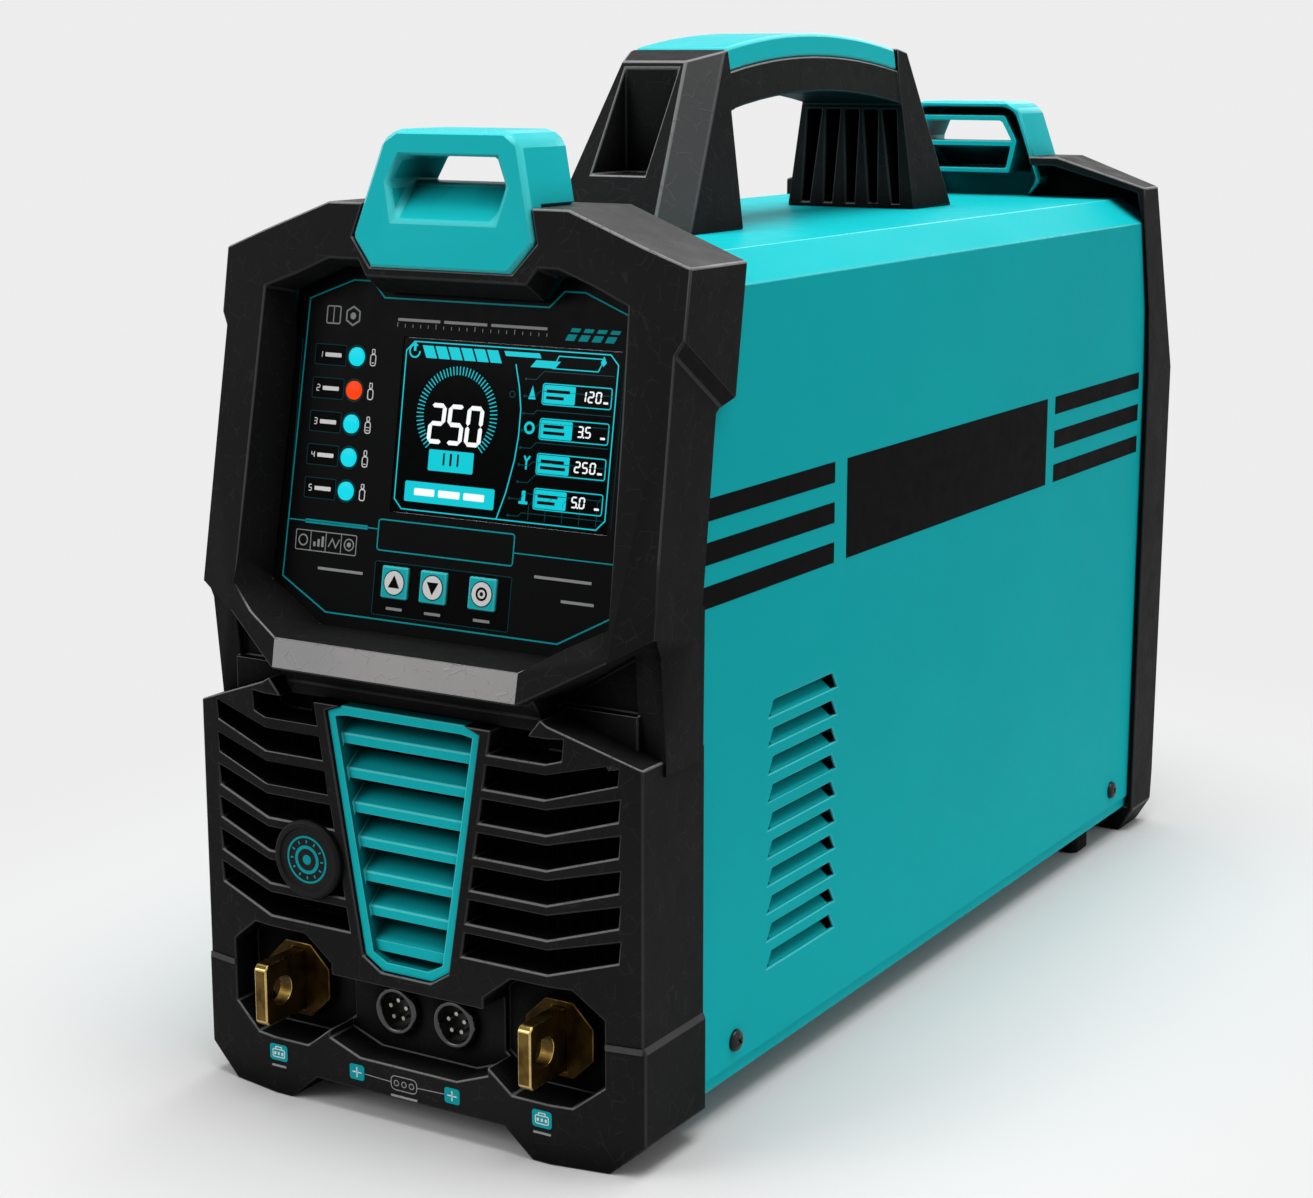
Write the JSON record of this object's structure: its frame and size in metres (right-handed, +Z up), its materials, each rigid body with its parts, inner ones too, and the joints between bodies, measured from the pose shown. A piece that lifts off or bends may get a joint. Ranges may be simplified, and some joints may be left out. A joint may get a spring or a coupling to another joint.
{
  "type": "stud welder",
  "caption": "Portable inverter stud welder: sheet-metal case between moulded front and rear frames, arched carrying handle, leaning display panel, brass output terminals.",
  "frame": {"origin": "on the floor, under the middle of the object's overall width and length", "axes": "+Z up, the control panel and the terminals face -Y, +X to the right seen from the front"},
  "size_m": [0.234, 0.6116, 0.462],
  "materials": {
    "black_plastic": "fine textured black moulded plastic",
    "teal_plastic": "satin teal moulded plastic",
    "teal_paint": "satin teal powder coat on sheet steel",
    "panel_film": "black printed panel film",
    "screen_glass": "black display window",
    "lens_plastic": "clear coloured indicator lens",
    "brass_metal": "turned and milled brass",
    "pin_metal": "plated contact pins",
    "copper_metal": "bare copper bar",
    "enamelled_wire": "enamelled copper winding",
    "zinc_steel": "zinc plated steel",
    "black_steel": "black oxide screw",
    "core_steel": "dark core",
    "sink_aluminium": "extruded aluminium",
    "board_laminate": "green circuit board",
    "capacitor_sleeve": "dark blue sleeve",
    "rocker_red": "red switch rocker",
    "foot_rubber": "black rubber"
  },
  "bodies": {
    "root": {"front_fascia": "black_plastic", "lower_front": "black_plastic", "front_lug": "teal_plastic", "rear_lug": "teal_plastic", "rear_bezel": "black_plastic", "control_panel": "panel_film", "display_glass": "screen_glass", "display_module": "zinc_steel", "indicator_lenses": "lens_plastic", "panel_board": "board_laminate", "panel_standoffs": "zinc_steel", "centre_grille": "teal_plastic", "badge_disc": "black_plastic", "left_terminal": "brass_metal", "right_terminal": "brass_metal", "left_flange": "brass_metal", "right_flange": "brass_metal", "terminal_nuts": "brass_metal", "left_bus_bar": "copper_metal", "right_bus_bar": "copper_metal", "left_socket": "black_plastic", "right_socket": "black_plastic", "socket_inserts": "black_plastic", "socket_pins": "pin_metal", "socket_nuts": "zinc_steel", "side_cover": "teal_paint", "base_tray": "teal_paint", "rear_feet": "foot_rubber", "front_plate": "zinc_steel", "rear_panel": "teal_paint", "handle_body": "black_plastic", "handle_cap": "teal_plastic", "handle_bolts": "zinc_steel", "cover_screws": "black_steel", "fan_frame": "black_plastic", "fan_guard": "zinc_steel", "fan_screws": "black_steel", "left_heat_sink": "sink_aluminium", "right_heat_sink": "sink_aluminium", "power_board": "board_laminate", "capacitor_bank": "capacitor_sleeve", "transformer_core": "core_steel", "transformer_winding": "enamelled_wire", "output_choke": "enamelled_wire", "control_board": "board_laminate", "board_standoffs": "brass_metal", "mains_switch": "black_plastic", "cable_gland": "black_plastic", "gland_nut": "black_plastic", "earth_stud": "brass_metal", "earth_nut": "brass_metal"},
    "key_up": {"key_up": "teal_plastic"},
    "key_down": {"key_down": "teal_plastic"},
    "key_set": {"key_set": "teal_plastic"},
    "fan_rotor": {"fan_rotor": "black_plastic"},
    "mains_rocker": {"mains_rocker": "rocker_red"}
  },
  "joints": [
    {"name": "key_up_press", "type": "slide", "parent": "root", "child": "key_up", "axis": [0, 0.9848, -0.1736], "range_m": [0, 0.001], "stiffness_N_per_m": 1000, "springref_m": -0.0003},
    {"name": "key_down_press", "type": "slide", "parent": "root", "child": "key_down", "axis": [0, 0.9848, -0.1736], "range_m": [0, 0.001], "stiffness_N_per_m": 1000, "springref_m": -0.0003},
    {"name": "key_set_press", "type": "slide", "parent": "root", "child": "key_set", "axis": [0, 0.9848, -0.1736], "range_m": [0, 0.001], "stiffness_N_per_m": 1000, "springref_m": -0.0003},
    {"name": "fan_spin", "type": "hinge", "parent": "root", "child": "fan_rotor", "pos_m": [0, 0.24725, 0.236], "axis": [0, 1, 0], "continuous": true},
    {"name": "rocker_tilt", "type": "hinge", "parent": "root", "child": "mains_rocker", "pos_m": [-0.055, 0.26475, 0.112], "axis": [1, 0, 0], "range_deg": [-18, 0]}
  ]
}
